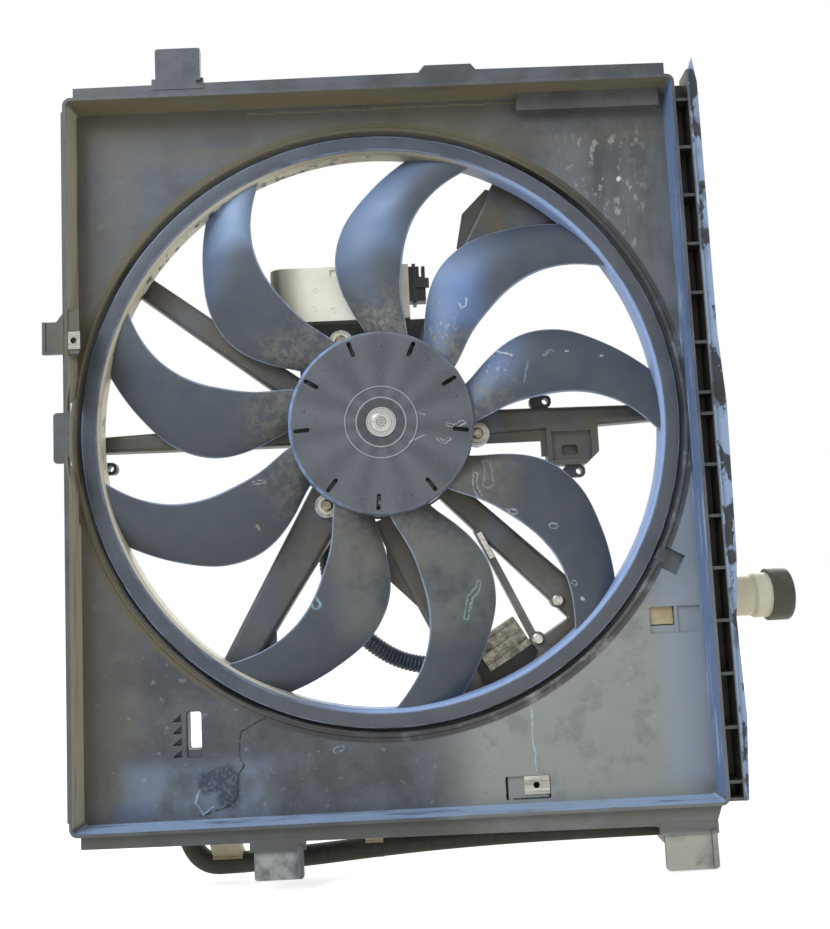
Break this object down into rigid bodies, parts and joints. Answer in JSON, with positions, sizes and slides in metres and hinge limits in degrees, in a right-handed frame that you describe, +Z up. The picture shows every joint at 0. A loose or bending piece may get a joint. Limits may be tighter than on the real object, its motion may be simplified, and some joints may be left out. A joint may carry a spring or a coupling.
{
  "type": "radiator cooling fan",
  "caption": "Car radiator cooling fan: ringed wheel on an electric motor in a moulded rectangular shroud, with motor controllers, coolant tank, hose and wiring.",
  "frame": {"origin": "on the fan axis, in the plane where the shroud's rim meets the radiator", "axes": "+X to the right as seen from the radiator, +Y away from the radiator towards the engine, +Z up"},
  "size_m": [0.5916, 0.1045, 0.666],
  "materials": {
    "shroud_plastic": "moulded, dusty",
    "clip_nut_steel": "zinc plated spring steel",
    "fan_plastic": "moulded, dusty",
    "drive_disc_steel": "turned",
    "nut_steel": "plated",
    "shaft_steel": "ground",
    "can_paint": "black drawn steel",
    "end_cap_paint": "black pressed steel",
    "front_bearing_bronze": "sintered",
    "rear_bearing_bronze": "sintered",
    "plate_steel": "zinc plated",
    "magnet_ferrite": "ferrite",
    "core_steel": "stacked sheet",
    "winding_copper": "enamelled copper",
    "commutator_copper": "turned copper",
    "brush_carbon": "pressed carbon",
    "brush_spring_steel": "spring wire",
    "brush_holder_plastic": "moulded",
    "isolator_rubber": "matt",
    "sleeve_steel": "plated",
    "washer_steel": "plated",
    "motor_screw_steel": "plated",
    "controller_aluminium": "cast",
    "connector_plastic": "moulded",
    "controller_screw_steel": "plated",
    "module_aluminium": "extruded",
    "module_screw_steel": "plated",
    "tank_plastic": "translucent cream",
    "filler_neck_plastic": "moulded, cream",
    "tank_screw_steel": "plated",
    "cap_plastic": "moulded",
    "seal_rubber": "matt",
    "hose_rubber": "matt",
    "hose_clip_plastic": "moulded",
    "conduit_plastic": "corrugated",
    "grommet_rubber": "matt",
    "plug_plastic": "moulded",
    "terminal_steel": "tinned",
    "harness_clip_plastic": "moulded"
  },
  "bodies": {
    "housing": {"shroud": "shroud_plastic", "clip_nuts": "clip_nut_steel", "motor_can": "can_paint", "motor_end_cap": "end_cap_paint", "front_bearing": "front_bearing_bronze", "rear_bearing": "rear_bearing_bronze", "motor_plate": "plate_steel", "motor_magnets": "magnet_ferrite", "carbon_brushes": "brush_carbon", "brush_springs": "brush_spring_steel", "brush_holder": "brush_holder_plastic", "motor_isolators": "isolator_rubber", "motor_sleeves": "sleeve_steel", "motor_washers": "washer_steel", "motor_screws": "motor_screw_steel", "controller_housing": "controller_aluminium", "controller_connector": "connector_plastic", "controller_screws": "controller_screw_steel", "module_block": "module_aluminium", "module_screws": "module_screw_steel", "coolant_tank": "tank_plastic", "filler_neck": "filler_neck_plastic", "tank_screws": "tank_screw_steel", "bottom_hose": "hose_rubber", "hose_clips": "hose_clip_plastic", "wiring_conduit": "conduit_plastic", "lead_grommet": "grommet_rubber", "module_plug": "plug_plastic", "terminal_strip": "terminal_steel", "harness_clips": "harness_clip_plastic"},
    "fan": {"fan_wheel": "fan_plastic", "drive_disc": "drive_disc_steel", "retaining_nut": "nut_steel", "motor_shaft": "shaft_steel", "armature_core": "core_steel", "armature_winding": "winding_copper", "commutator": "commutator_copper"},
    "cap": {"tank_cap": "cap_plastic", "cap_seal": "seal_rubber"}
  },
  "joints": [
    {"name": "fan_spin", "type": "hinge", "parent": "housing", "child": "fan", "pos_m": [0, 0, 0], "axis": [0, 1, 0], "continuous": true},
    {"name": "cap_lift", "type": "slide", "parent": "housing", "child": "cap", "axis": [1, 0, 0], "range_m": [0, 0.045]}
  ]
}
